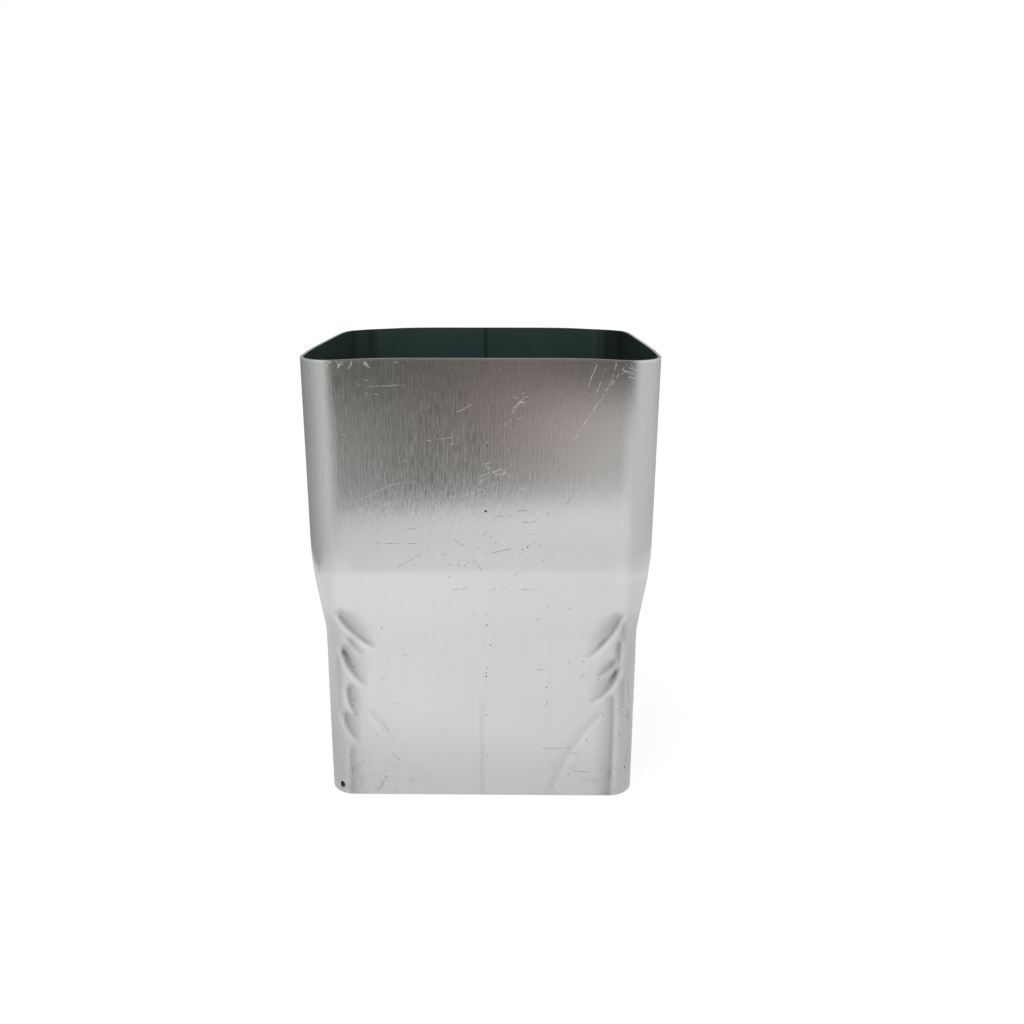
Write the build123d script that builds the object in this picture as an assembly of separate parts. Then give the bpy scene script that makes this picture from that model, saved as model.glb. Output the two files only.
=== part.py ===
from build123d import *

import os
from math import atan, cos, degrees, radians, sin, sqrt, tan

# Square downpipe coupling: one sleeve of thin aluminium sheet.
# The wide upper end is a socket for the pipe above. A tapered shoulder leads to the
# narrower lower end, a spigot that is pressed in to slide inside the pipe below.
# Pressing gathers the spare sheet at the spigot's corners into slanting folds.
# Origin at the centre of the spigot's rim, +Z up to the socket's mouth, front wall to -Y.
# Lengths are in millimetres and angles in degrees.

# Driving dimensions
PIPE_SIDE = 80.0
PIPE_WALL = 0.7
SHEET = 0.7
SOCKET_CLEARANCE = 0.3
SPIGOT_CLEARANCE = 1.3

SPIGOT_LENGTH = 43.0
SHOULDER_LENGTH = 17.0
SOCKET_LENGTH = 49.5
SPIGOT_CORNER = 6.3
NECK_BEND = 25.0
SHOULDER_BEND = 8.0

PIN_HOLE_DIAMETER = 1.4
PIN_HOLE_HEIGHT = 2.2
PIN_HOLE_TURN = 30.0

# Gathered folds beside a wall's left edge and right edge. Each is one leaf-shaped hollow
# between a steep ridge on its corner side and an edge that fades into the wall:
# its upper tip and its lower tip as (in from the wall's edge, below the neck),
# then how far the ridge bows, how far the other edge bows, and the depth at the ridge.
RIDGE_LEAN = 40.0
LEFT_FOLDS = [
    ((3.4, -6.9), (12.4, 3.4), 1.3, 2.2, 0.75),
    ((4.0, 2.0), (9.6, 13.2), 1.3, 2.4, 0.85),
    ((5.4, 12.2), (7.4, 21.8), 0.9, 1.8, 0.6),
    ((3.8, 19.8), (7.4, 28.4), 0.8, 1.8, 0.6),
]
RIGHT_FOLDS = [
    ((4.1, -6.6), (12.2, 5.8), 1.3, 2.2, 0.75),
    ((5.7, 1.6), (10.4, 10.8), 1.2, 1.0, 0.5),
    ((4.2, 7.0), (11.0, 17.6), 1.6, 2.4, 0.85),
    ((5.6, 14.4), (6.4, 54.0), 0.5, 2.4, 0.65),
]

# Sizes that follow from them
SPIGOT_SIDE = PIPE_SIDE - 2 * (PIPE_WALL + SPIGOT_CLEARANCE)
SOCKET_SIDE = PIPE_SIDE + 2 * (SOCKET_CLEARANCE + SHEET)
SHOULDER_STEP = (SOCKET_SIDE - SPIGOT_SIDE) / 2
SHOULDER_SLOPE = degrees(atan(SHOULDER_STEP / SHOULDER_LENGTH))
NECK_HEIGHT = SPIGOT_LENGTH
SHOULDER_HEIGHT = SPIGOT_LENGTH + SHOULDER_LENGTH
TOTAL_HEIGHT = SHOULDER_HEIGHT + SOCKET_LENGTH


def bend_edges(form, height):
    """The closed loop of edges where two walls meet at one height."""
    near = 0.01
    return form.edges().filter_by_position(Axis.Z, height - near, height + near)


def tube_form(inset):
    """The sleeve's outer form as a filled solid, drawn in by inset on every wall."""
    rise = inset * tan(radians(SHOULDER_SLOPE / 2))
    neck = NECK_HEIGHT + rise
    shoulder = SHOULDER_HEIGHT + rise
    spigot_side = SPIGOT_SIDE - 2 * inset
    spigot_corner = SPIGOT_CORNER - inset
    socket_side = SOCKET_SIDE - 2 * inset
    socket_corner = spigot_corner + SHOULDER_STEP

    spigot_section = RectangleRounded(spigot_side, spigot_side, spigot_corner)
    socket_section = RectangleRounded(socket_side, socket_side, socket_corner)
    spigot = extrude(spigot_section, neck)
    taper = extrude(Pos(Z=neck) * spigot_section, SHOULDER_LENGTH, taper=-SHOULDER_SLOPE)
    socket = extrude(Pos(Z=shoulder) * socket_section, TOTAL_HEIGHT - shoulder)
    form = spigot + taper + socket
    form = fillet(bend_edges(form, neck), NECK_BEND + inset)
    return fillet(bend_edges(form, shoulder), SHOULDER_BEND - inset)


def front_surface(edge_gap, drop):
    """Point on the front wall's outer surface, left of its middle."""
    height = NECK_HEIGHT - drop
    lean = max(0.0, height - NECK_HEIGHT) * tan(radians(SHOULDER_SLOPE))
    half = SPIGOT_SIDE / 2 + lean
    corner = SPIGOT_CORNER + lean
    across = SPIGOT_SIDE / 2 - edge_gap
    round_over = max(0.0, across - (half - corner))
    depth = half - corner + sqrt(corner**2 - round_over**2)
    return Vector(-across, -depth, height)


def arc_radius(half_chord, bow):
    """Radius of the arc through both ends of a chord that bows by a given height."""
    return (half_chord**2 + bow**2) / (2 * bow)


def fold_tool(fold, grow):
    """Punch for one fold of the front wall's left edge, enlarged by grow.

    It is a wide ball, which leaves the fading edge, inside a cone, which leaves the ridge.
    """
    upper, lower, ridge_bow, fade_bow, depth = fold
    start = front_surface(*upper)
    end = front_surface(*lower)
    half_chord = (end - start).length / 2
    ridge_radius = arc_radius(half_chord, ridge_bow)
    fade_radius = arc_radius(half_chord, fade_bow)

    fade_centre = fade_radius - fade_bow
    ridge_from_centre = fade_centre - ridge_bow
    lift = (fade_radius**2 - ridge_from_centre**2 - depth**2) / (2 * depth)
    ball_radius = sqrt(lift**2 + fade_radius**2) + grow
    ball = Pos(0, fade_centre, lift) * Rot(Y=-90) * Sphere(ball_radius)

    half_height = 2 * (depth + grow)
    spread = half_height * tan(radians(RIDGE_LEAN))
    mean_radius = ridge_radius + grow / cos(radians(RIDGE_LEAN))
    cone = Cone(mean_radius - spread, mean_radius + spread, 2 * half_height)
    punch = ball & Pos(0, ridge_bow - ridge_radius, 0) * cone

    along = (start - end).normalized()
    square_to_wall = Vector(0, -1, 0)
    wall_out = (square_to_wall - along * square_to_wall.dot(along)).normalized()
    return Plane(origin=(start + end) / 2, x_dir=along, z_dir=wall_out) * punch


def gather_tools(grow):
    """All the punches, for both edges of the four walls."""
    left = [fold_tool(fold, grow) for fold in LEFT_FOLDS]
    right = [mirror(fold_tool(fold, grow), Plane.YZ) for fold in RIGHT_FOLDS]
    return [Rot(Z=turn) * tool for turn in (0, 90, 180, 270) for tool in left + right]


def pin_hole():
    """Small hole through the front left corner, just above the spigot's rim."""
    corner_axis = SPIGOT_SIDE / 2 - SPIGOT_CORNER
    turn = radians(PIN_HOLE_TURN)
    outward = Vector(-sin(turn), -cos(turn), 0)
    middle = Vector(-corner_axis, -corner_axis, PIN_HOLE_HEIGHT) + outward * (SPIGOT_CORNER - SHEET / 2)
    return Plane(origin=middle, z_dir=outward) * Cylinder(PIN_HOLE_DIAMETER / 2, 3 * SHEET)


def coupling_sleeve():
    """Outer form less its bore, both dented by the same punches, so the sheet stays even."""
    outside = tube_form(0) - gather_tools(0)
    bore = tube_form(SHEET) - gather_tools(SHEET)
    return outside - bore - pin_hole()


os.makedirs("parts", exist_ok=True)
export_step(coupling_sleeve(), "parts/coupling_sleeve.step")
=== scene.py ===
import math

import bmesh
import bpy
import numpy as np
from bpy.props import FloatProperty, FloatVectorProperty, IntProperty, PointerProperty
from mathutils import Matrix, Vector


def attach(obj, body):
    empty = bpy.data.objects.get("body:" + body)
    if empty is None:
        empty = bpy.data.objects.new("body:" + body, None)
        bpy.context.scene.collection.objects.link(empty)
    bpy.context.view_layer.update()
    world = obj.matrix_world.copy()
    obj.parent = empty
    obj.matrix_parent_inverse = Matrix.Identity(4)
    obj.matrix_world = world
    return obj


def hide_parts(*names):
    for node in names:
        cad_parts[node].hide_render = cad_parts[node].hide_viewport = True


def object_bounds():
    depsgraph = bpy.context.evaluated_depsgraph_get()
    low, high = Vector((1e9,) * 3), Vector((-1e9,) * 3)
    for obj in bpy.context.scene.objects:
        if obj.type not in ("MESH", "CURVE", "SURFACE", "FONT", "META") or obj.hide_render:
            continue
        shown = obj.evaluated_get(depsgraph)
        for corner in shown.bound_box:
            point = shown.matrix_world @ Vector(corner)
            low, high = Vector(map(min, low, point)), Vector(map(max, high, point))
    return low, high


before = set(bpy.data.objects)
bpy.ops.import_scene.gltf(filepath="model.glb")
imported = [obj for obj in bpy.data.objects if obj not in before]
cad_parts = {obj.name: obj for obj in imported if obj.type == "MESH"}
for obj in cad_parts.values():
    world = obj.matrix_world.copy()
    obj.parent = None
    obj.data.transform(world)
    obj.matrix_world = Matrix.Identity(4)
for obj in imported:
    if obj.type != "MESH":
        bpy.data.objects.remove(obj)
CAD_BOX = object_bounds()

bl_info = {
    "name": "Square Downpipe Coupling",
    "version": (1, 0, 0),
    "blender": (4, 5, 0),
    "location": "View3D > Sidebar > Coupling",
    "description": "Dresses the folded sheet coupling for a square downpipe and sets its studio",
    "category": "Object",
}

MM = 0.001

# Each fold: upper tip and lower tip as (in from the wall's edge, below the neck), the bow of its
# ridge towards the corner, the bow of its fade into the wall, and its depth, all in millimetres.
LEFT_FOLDS = (
    ((3.4, -6.9), (12.4, 3.4), 1.3, 2.2, 0.75),
    ((5.4, -0.2), (9.4, 5.4), 0.5, 1.0, 0.35),
    ((4.0, 2.0), (9.6, 13.2), 1.3, 2.4, 0.85),
    ((5.4, 12.2), (7.4, 21.8), 0.9, 1.8, 0.60),
    ((3.8, 19.8), (7.4, 28.4), 0.8, 1.8, 0.60),
    ((5.6, 28.6), (5.4, 56.0), 0.3, 1.6, 0.19),
    ((3.1, 4.0), (3.0, 21.0), 0.2, 0.9, 0.13),
    ((9.7, 18.8), (15.3, 27.4), 0.1, 0.7, 0.10),
)
RIGHT_FOLDS = (
    ((4.1, -6.6), (12.2, 5.8), 1.3, 2.2, 0.75),
    ((3.7, -5.0), (3.4, 4.2), 0.3, 0.8, 0.28),
    ((4.4, 0.4), (4.7, 8.0), 0.3, 0.8, 0.60),
    ((4.7, 5.6), (9.6, 10.8), 0.7, 1.0, 0.55),
    ((4.2, 7.0), (11.0, 17.6), 1.6, 2.4, 0.85),
    ((5.6, 14.4), (6.4, 54.0), 0.5, 2.6, 0.28),
    ((3.3, 9.8), (3.3, 21.0), 0.2, 0.8, 0.22),
    ((7.6, 19.5), (20.8, 43.4), -1.6, 3.4, 0.12),
)

# Fluff caught under the front rim and tangles below it, as points (across, height) in millimetres.
FLUFF = (
    ((-32.5, 108.7), (-33.1, 108.0), (-33.6, 107.3)),
    ((-31.0, 108.3), (-30.8, 107.5), (-30.7, 106.8)),
    ((-30.2, 108.6), (-29.2, 108.0), (-28.3, 107.3)),
    ((-28.5, 108.9), (-27.7, 108.4), (-28.0, 107.3), (-28.8, 106.9)),
    ((-25.7, 108.8), (-23.5, 107.9), (-24.3, 107.8)),
    ((-25.2, 107.9), (-24.5, 107.6), (-23.8, 107.0)),
    ((-31.8, 108.8), (-30.2, 108.7), (-28.5, 108.8), (-26.3, 108.7)),
    ((-33.3, 107.9), (-32.7, 108.6), (-31.8, 108.8)),
    ((-31.1, 106.8), (-30.8, 107.6), (-30.2, 108.0), (-29.6, 107.9)),
    ((-30.7, 106.9), (-30.5, 108.0), (-30.0, 108.8)),
    ((-31.8, 108.8), (-30.4, 108.9), (-29.0, 108.8), (-27.1, 108.9), (-25.7, 108.7)),
    ((-28.3, 107.6), (-27.8, 108.3), (-27.9, 108.8)),
    ((-26.8, 108.9), (-26.0, 108.8), (-24.6, 108.6)),
    ((-25.7, 108.0), (-24.9, 108.3), (-24.3, 107.9), (-23.8, 108.0), (-23.5, 108.6)),
    ((-24.6, 108.0), (-24.2, 107.5), (-23.8, 107.0)),
    ((25.9, 108.8), (24.7, 105.7), (23.3, 101.8)),
    ((28.1, 108.8), (27.2, 105.5), (25.6, 101.6)),
    ((30.0, 108.8), (29.2, 105.2), (27.6, 101.6), (23.8, 95.9), (20.9, 90.7)),
    ((32.2, 108.3), (30.0, 105.2), (27.7, 101.8)),
    ((31.3, 107.0), (32.3, 105.9), (34.4, 105.7)),
    ((32.0, 105.5), (33.1, 105.0), (34.3, 104.9)),
    ((32.4, 107.3), (33.8, 107.1), (34.1, 106.7)),
    ((31.0, 105.9), (31.6, 106.4), (32.6, 106.6), (33.6, 106.2)),
    ((32.9, 108.0), (33.4, 107.6), (33.2, 106.9)),
    ((7.9, 101.4), (7.4, 100.9), (7.8, 100.6), (8.8, 100.5), (9.3, 100.4)),
    ((9.8, 101.7), (9.5, 101.0), (9.2, 100.3), (9.3, 99.6)),
    ((10.8, 100.8), (10.2, 100.9), (9.6, 100.5), (9.0, 99.9)),
    ((9.9, 98.9), (9.5, 99.6), (9.1, 100.2)),
    ((10.3, 99.9), (9.6, 99.8), (8.9, 99.6)),
    ((8.9, 99.8), (8.2, 99.0), (7.2, 98.2)),
    ((9.0, 99.5), (8.3, 98.6), (7.1, 97.2)),
    ((0.5, 85.2), (1.8, 86.0), (3.3, 86.4)),
    ((1.2, 85.1), (2.4, 84.5), (3.3, 83.6), (5.3, 83.4), (7.1, 83.1)),
    ((-0.2, 81.2), (0.7, 82.2), (3.3, 82.8), (5.9, 83.6)),
    ((5.3, 84.1), (6.8, 83.0), (6.3, 82.2)),
    ((0.2, 83.0), (1.9, 83.4), (3.6, 84.3), (5.2, 84.6)),
    ((1.9, 80.5), (2.8, 80.8), (3.5, 81.4)),
    ((-3.9, 78.4), (-2.2, 78.9), (-0.5, 79.4), (1.3, 80.0), (3.9, 81.5)),
)

# Hairline scratches and lint on the front wall, as points (across, height) in millimetres.
HAIRLINES = (
    ((-18.7, 109.0), (-17.9, 108.0), (-16.5, 107.5)),
    ((-25.4, 104.6), (-24.4, 104.4)),
    ((-27.1, 104.0), (-26.5, 103.7), (-26.6, 102.9), (-25.9, 103.6)),
    ((-25.6, 102.9), (-23.7, 103.1), (-20.9, 103.3), (-16.1, 103.6)),
    ((-25.2, 101.7), (-24.5, 101.4)),
    ((-23.3, 101.6), (-22.2, 101.3)),
    ((-33.1, 95.1), (-32.3, 95.6), (-31.7, 95.2)),
    ((-5.0, 97.6), (-3.3, 98.1), (-1.6, 99.2)),
    ((-11.7, 91.1), (-8.4, 91.6), (-6.0, 91.9)),
    ((-6.6, 90.2), (-5.5, 90.3), (-4.5, 90.5)),
    ((-30.6, 92.6), (-30.0, 91.9), (-29.7, 92.2)),
    ((-27.8, 77.1), (-24.5, 78.7), (-21.6, 80.3), (-18.7, 81.1), (-14.3, 81.7)),
    ((-12.1, 77.1), (-10.1, 76.9), (-8.1, 76.6), (-6.3, 75.1), (-5.2, 74.9), (-3.4, 75.8),
     (-1.4, 78.0), (0.1, 78.7)),
    ((7.1, 96.1), (6.4, 95.4), (5.2, 94.4)),
    ((8.4, 96.0), (8.9, 96.2), (9.5, 96.1)),
    ((8.9, 79.8), (11.6, 80.0), (13.3, 80.1), (15.1, 80.5)),
    ((18.7, 75.1), (20.0, 77.1), (21.7, 79.6)),
    ((16.4, 94.3), (16.9, 94.2), (17.4, 94.6)),
    ((20.9, 82.4), (21.4, 82.5), (21.8, 82.7)),
    ((4.4, 106.8), (4.7, 107.0), (4.9, 106.7)),
    ((6.0, 88.9), (6.3, 88.8), (6.6, 89.1)),
    ((36.5, 83.6), (36.7, 82.0), (37.4, 80.5), (37.3, 78.1)),
    ((36.5, 79.3), (37.0, 79.0), (37.5, 79.2)),
    ((-25.0, 67.1), (-20.5, 67.0), (-16.3, 66.9), (-13.8, 66.8)),
    ((-19.2, 61.1), (-16.7, 62.7), (-14.2, 63.9), (-11.6, 65.4)),
    ((-17.0, 70.6), (-16.1, 70.4), (-15.2, 70.6), (-14.4, 70.7)),
    ((0.7, 68.9), (1.0, 69.5), (1.5, 69.7), (2.2, 69.6)),
    ((-4.2, 66.6), (-3.3, 66.3), (-2.2, 66.4)),
    ((1.1, 64.5), (2.6, 64.7), (4.5, 65.1), (7.1, 65.8)),
    ((3.2, 72.5), (4.0, 73.3), (4.6, 73.7), (5.5, 73.4)),
    ((6.4, 73.4), (7.7, 74.1), (9.3, 75.0), (11.2, 74.7), (12.4, 74.7)),
    ((9.6, 72.1), (11.3, 72.1), (12.2, 72.2), (13.6, 73.2)),
    ((11.2, 69.2), (12.4, 69.4), (13.6, 69.5)),
    ((10.8, 66.2), (11.3, 66.8), (12.4, 67.3), (13.3, 67.0), (13.9, 66.2)),
    ((7.1, 58.3), (7.8, 59.4), (8.9, 59.9), (10.1, 60.0)),
    ((9.3, 55.5), (10.9, 55.7), (13.4, 55.5)),
    ((15.1, 74.4), (15.8, 73.9), (15.4, 73.4)),
    ((-18.6, 38.0), (-17.8, 38.1), (-17.3, 37.8)),
    ((-22.3, 36.7), (-22.7, 35.7)),
    ((14.9, 13.1), (17.6, 13.1), (20.4, 13.2), (22.2, 13.4)),
    ((20.5, 50.5), (21.0, 50.6), (21.6, 50.5)),
    ((22.3, 6.8), (25.2, 6.8), (29.1, 6.4)),
    ((13.6, 34.1), (14.8, 34.2), (15.9, 34.4)),
    ((-5.8, 68.0), (-5.0, 67.0), (-3.9, 66.6), (-2.4, 66.4)),
    ((-7.4, 62.2), (-6.6, 61.6)),
    ((-5.3, 62.0), (-4.7, 62.0)),
    ((-3.7, 61.7), (-3.2, 61.3)),
    ((-2.8, 62.4), (-2.0, 61.8)),
    ((-1.6, 62.2), (-1.2, 62.7)),
    ((-0.7, 61.8), (-0.2, 61.3), (0.3, 60.4)),
    ((11.2, 63.5), (9.5, 61.2)),
    ((14.0, 62.7), (14.9, 62.7)),
    ((8.9, 64.4), (9.6, 64.9)),
    ((9.5, 79.9), (10.6, 80.8), (11.4, 80.1)),
    ((14.5, 80.1), (15.3, 80.8)),
    ((17.1, 78.1), (17.8, 77.9)),
    ((19.3, 86.0), (20.5, 85.7)),
    ((20.5, 82.3), (21.8, 82.5)),
    ((23.1, 79.8), (23.8, 80.3)),
    ((-6.7, 55.5), (-3.2, 55.7)),
    ((2.4, 55.3), (3.6, 55.8)),
    ((5.9, 89.0), (6.7, 88.9)),
    ((5.2, 56.5), (6.1, 55.9)),
    ((-6.9, 72.0), (-6.2, 72.1)),
    ((-12.6, 71.1), (-12.0, 71.3)),
    ((-8.7, 64.4), (-7.9, 64.6)),
    ((-30.0, 102.4), (-29.9, 102.0), (-30.1, 101.6)),
    ((-30.1, 101.2), (-29.9, 100.8)),
    ((-30.5, 99.6), (-30.3, 99.8)),
    ((-5.7, 105.0), (-5.4, 104.6)),
    ((-17.2, 86.4), (-16.5, 86.6)),
    ((-32.6, 90.6), (-32.3, 90.2)),
    ((-2.5, 83.3), (-2.3, 83.5)),
    ((-30.2, 2.2), (-29.8, 3.9), (-29.3, 5.5)),
    ((-29.8, 2.2), (-29.1, 2.0)),
    ((-25.9, 1.4), (-24.9, 2.5), (-24.4, 4.3), (-23.6, 5.1)),
    ((-24.0, 5.1), (-22.9, 4.3), (-22.6, 3.1)),
    ((-23.9, 7.1), (-23.6, 6.5)),
    ((-31.5, 9.1), (-31.4, 8.1), (-30.7, 8.2)),
    ((-29.9, 9.5), (-28.9, 8.7), (-28.4, 8.1)),
    ((-32.1, 3.4), (-31.8, 2.4)),
    ((-22.0, 11.5), (-21.1, 10.4), (-20.3, 9.6)),
    ((-24.6, 20.6), (-23.2, 18.2), (-21.7, 15.9)),
    ((-31.6, 26.0), (-31.3, 25.2), (-30.0, 26.7)),
    ((-31.8, 24.0), (-31.3, 24.6), (-30.4, 25.0)),
    ((-31.7, 22.5), (-31.1, 21.5), (-30.7, 22.1)),
    ((-31.8, 34.5), (-30.5, 34.6), (-29.5, 35.3)),
    ((-22.3, 36.3), (-22.0, 36.9)),
    ((-23.0, 23.9), (-22.7, 24.5)),
    ((-21.4, 25.1), (-20.4, 25.5), (-20.0, 24.9)),
    ((-27.0, 36.3), (-26.6, 37.4), (-27.1, 37.4)),
    ((-24.4, 31.6), (-23.1, 32.1)),
    ((-32.5, 11.3), (-32.3, 7.9), (-32.1, 5.5)),
    ((35.5, 31.3), (35.9, 29.1), (35.8, 26.8), (36.4, 25.2)),
    ((35.6, 23.3), (35.9, 24.5), (35.9, 21.8), (36.8, 19.8)),
    ((35.3, 21.7), (36.2, 21.0), (36.8, 19.0)),
    ((34.2, 22.9), (34.7, 21.9)),
    ((36.2, 8.4), (36.3, 10.0), (36.6, 11.6)),
    ((35.5, 7.2), (36.4, 7.1)),
    ((24.6, 32.0), (23.9, 32.2), (25.2, 33.5)),
    ((21.0, 35.4), (21.3, 36.5)),
    ((21.4, 6.7), (22.2, 5.5)),
    ((22.2, 12.2), (22.6, 11.5), (23.6, 11.9)),
    ((29.3, 22.9), (30.1, 21.7)),
    ((29.6, 12.9), (30.3, 13.0)),
    ((25.7, 16.2), (26.2, 15.0)),
    ((16.0, 26.6), (16.5, 25.9), (15.8, 24.7)),
    ((34.4, 7.2), (34.8, 7.2)),
    ((25.3, 36.6), (24.8, 36.4)),
)

# Dark specks on the front wall: across, height and radius in millimetres.
SPECKS = (
    (1.3, 74.7, 0.30), (-7.0, 61.9, 0.13), (-7.1, 58.9, 0.12), (-5.0, 61.7, 0.12),
    (-0.4, 66.1, 0.12), (3.7, 67.3, 0.12), (2.5, 68.6, 0.12), (1.4, 48.9, 0.12),
    (-1.6, 49.2, 0.12), (9.7, 65.5, 0.12), (10.9, 66.1, 0.14), (21.0, 50.5, 0.15),
    (15.9, 50.8, 0.11), (13.6, 47.6, 0.14), (-23.6, 45.1, 0.16), (-19.3, 49.7, 0.09),
    (-18.6, 14.0, 0.13), (-25.5, 16.8, 0.13), (-28.2, 22.1, 0.12), (15.9, 29.5, 0.16),
    (34.1, 16.7, 0.17), (35.8, 7.1, 0.22), (24.7, 36.5, 0.13), (21.0, 35.3, 0.12),
    (28.6, 31.8, 0.13), (33.2, 23.7, 0.13), (1.7, 108.3, 0.16), (1.7, 89.9, 0.20),
    (1.3, 80.1, 0.17), (1.5, 46.0, 0.20), (1.3, 43.7, 0.10), (1.1, 40.4, 0.11),
    (2.4, 40.6, 0.16), (1.6, 34.8, 0.13), (1.3, 33.3, 0.17), (1.3, 32.4, 0.19),
    (1.5, 30.7, 0.12), (1.5, 26.4, 0.11), (1.5, 22.1, 0.15), (1.5, 11.1, 0.13),
)

# Tent round the object, by degrees from behind by the left, the front and the right: how far out
# it stands in metres, and its colour near the floor and higher up.
TENT_REACH = (
    (-180, 0.24), (-130, 0.20), (-90, 0.16), (-50, 0.24), (-30, 0.309), (-8, 0.305),
    (4, 0.315), (14, 0.335), (30, 0.338), (50, 0.27), (90, 0.20), (130, 0.22), (180, 0.24),
)
TENT_LOW = (
    (-180, 0.50, 0.50, 0.50),
    (-120, 0.32, 0.33, 0.32),
    (-80, 0.46, 0.47, 0.46),
    (-44, 0.72, 0.73, 0.71),
    (-28, 0.46, 0.47, 0.45),
    (-15, 0.39, 0.395, 0.373),
    (-8, 0.026, 0.026, 0.023),
    (-2, 0.066, 0.062, 0.056),
    (4, 0.38, 0.35, 0.325),
    (9, 0.64, 0.62, 0.605),
    (18, 0.57, 0.57, 0.565),
    (34, 0.73, 0.735, 0.73),
    (90, 0.65, 0.66, 0.66),
    (140, 0.55, 0.55, 0.55),
    (180, 0.50, 0.50, 0.50),
)
TENT_HIGH = (
    (-180, 0.38, 0.38, 0.38),
    (-120, 0.28, 0.29, 0.28),
    (-80, 0.42, 0.43, 0.42),
    (-44, 0.72, 0.73, 0.71),
    (-28, 0.25, 0.26, 0.24),
    (-15, 0.066, 0.069, 0.061),
    (-8, 0.112, 0.108, 0.099),
    (-2, 0.192, 0.168, 0.150),
    (4, 0.240, 0.203, 0.186),
    (10, 0.070, 0.064, 0.059),
    (19, 0.045, 0.045, 0.042),
    (34, 0.10, 0.10, 0.095),
    (47, 0.71, 0.715, 0.71),
    (90, 0.65, 0.66, 0.66),
    (140, 0.45, 0.45, 0.45),
    (180, 0.38, 0.38, 0.38),
)

# How a fold is pressed, in millimetres: the run from its upper tip to its full depth, the stretch
# in which it dies out by the corner, and where the lip beside its ridge stands and how wide it is.
TIP_RUN = 2.4
CORNER_FADE = 2.6
LIP_PLACE = 0.5
LIP_WIDTH = 0.6
# Its lip and its hollow as shares of the depth, and its steep side as a share of the width.
LIP_SHARE = 0.16
HOLLOW_SHARE = 0.80
STEEP_SHARE = 0.55
# How far from a wall's middle its folds may reach, in millimetres, in front and behind and then on
# the two sides.
FOLD_LIMITS = (38.2, 33.6)
# Easing of the shoulder's upper bend by the corners, in millimetres: how far it goes up and down,
# and where across a wall it sets in and how soon it is full.
BEND_EASING = 6.0
EASING_START = 28.0
EASING_RUN = 6.0

# The pin hole: its turn from the front to the left, its height in millimetres, and its stretch.
PIN_TURN = math.radians(30.0)
PIN_HEIGHT = 2.2
PIN_STRETCH = 1.3

# Marks are drawn this far from the sleeve's middle, in millimetres, and then laid back onto a wall:
# the one that faces along the axis on which they lie past WALL_FACING.
DRAWN_OUT = 60.0
WALL_FACING = 50.0
# Only marks closer to the front wall's middle than this are repeated on the other walls.
REPEATED_WITHIN = 29.0
# Marks that start above this height are pale, lint and scratches painted pale for the sheen they
# show where the wall mirrors dark, and the others are dark scratches, partly painted shade where
# the wall mirrors bright.
PALE_ABOVE = 75.5
# How far the strands of one fluff lie from its path.
STRAND_SPREAD = 0.17

# The studio, in metres: half the floor's width, the tent's height, the soft lamp's place and side.
FLOOR_REACH = 6.0
SQUARE = ((-1, -1), (1, -1), (1, 1), (-1, 1))
TENT_HEIGHT = 0.8
TENT_STEPS = 96
LAMP_PLACE = (-0.35, -0.25, 0.9)
LAMP_SIDE = 0.9

# The camera: the picture's side, optical centre and focal length in pixels, the sensor's width and
# the place in millimetres, and the turns down and to the right in radians.
PICTURE_SIDE = 1024.0
OPTICAL_CENTRE = (493.508, 499.518)
FOCAL_PIXELS = 926.399
SENSOR_WIDTH = 36.0
CAMERA_PLACE = (5.535, -243.401, 131.817)
CAMERA_PITCH = 0.262
CAMERA_YAW = -0.012


def ramp_stops(levels):
    """Stops of a colour ramp all round, from colours by degrees."""
    return tuple(((turn + 180) / 360, (*shade, 1.0)) for turn, *shade in levels)


class SleeveSizes(bpy.types.PropertyGroup):
    """Sizes of the folded sheet."""

    core: FloatProperty(
        name="Core",
        description="Half the flat width between two corner bends",
        default=31.7 * MM,
        unit="LENGTH",
    )
    corner: FloatProperty(
        name="Spigot Corner",
        description="Outside radius of the spigot's corners",
        default=6.3 * MM,
        unit="LENGTH",
    )
    step: FloatProperty(
        name="Shoulder Step",
        description="How far the wall steps out from the neck to the shoulder",
        default=2.7 * MM,
        unit="LENGTH",
    )
    mouth: FloatProperty(
        name="Mouth",
        description="Half the width across the open mouth",
        default=CAD_BOX[1].x - 0.06 * MM,
        unit="LENGTH",
    )
    neck: FloatProperty(
        name="Neck Height",
        description="Height of the bend above the spigot",
        default=43.0 * MM,
        unit="LENGTH",
    )
    shoulder: FloatProperty(
        name="Shoulder Height",
        description="Height of the bend below the socket",
        default=59.6 * MM,
        unit="LENGTH",
    )
    height: FloatProperty(
        name="Height",
        description="Height of the whole sleeve",
        default=CAD_BOX[1].z,
        unit="LENGTH",
    )
    sheet: FloatProperty(
        name="Sheet",
        description="Thickness of the metal",
        default=0.7 * MM,
        unit="LENGTH",
    )
    dip: FloatProperty(
        name="Corner Dip",
        description="How far the rim dips at the corners of the mouth",
        default=0.55 * MM,
        unit="LENGTH",
    )
    fall: FloatProperty(
        name="Rim Fall",
        description="How much lower the rim is cut in front than behind",
        default=0.22 * MM,
        unit="LENGTH",
    )
    hole: FloatProperty(
        name="Pin Hole",
        description="Diameter of the pin hole by the lower rim",
        default=1.4 * MM,
        unit="LENGTH",
    )
    wall_steps: IntProperty(
        name="Wall Steps",
        description="Faces across one flat wall",
        default=68,
        min=8,
    )
    corner_steps: IntProperty(
        name="Corner Steps",
        description="Faces round one corner",
        default=14,
        min=4,
    )
    fine_rows: IntProperty(
        name="Fine Rows",
        description="Rows of faces over the spigot and the shoulder",
        default=140,
        min=8,
    )
    plain_rows: IntProperty(
        name="Plain Rows",
        description="Rows of faces over the rest of the socket",
        default=7,
        min=2,
    )


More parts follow.
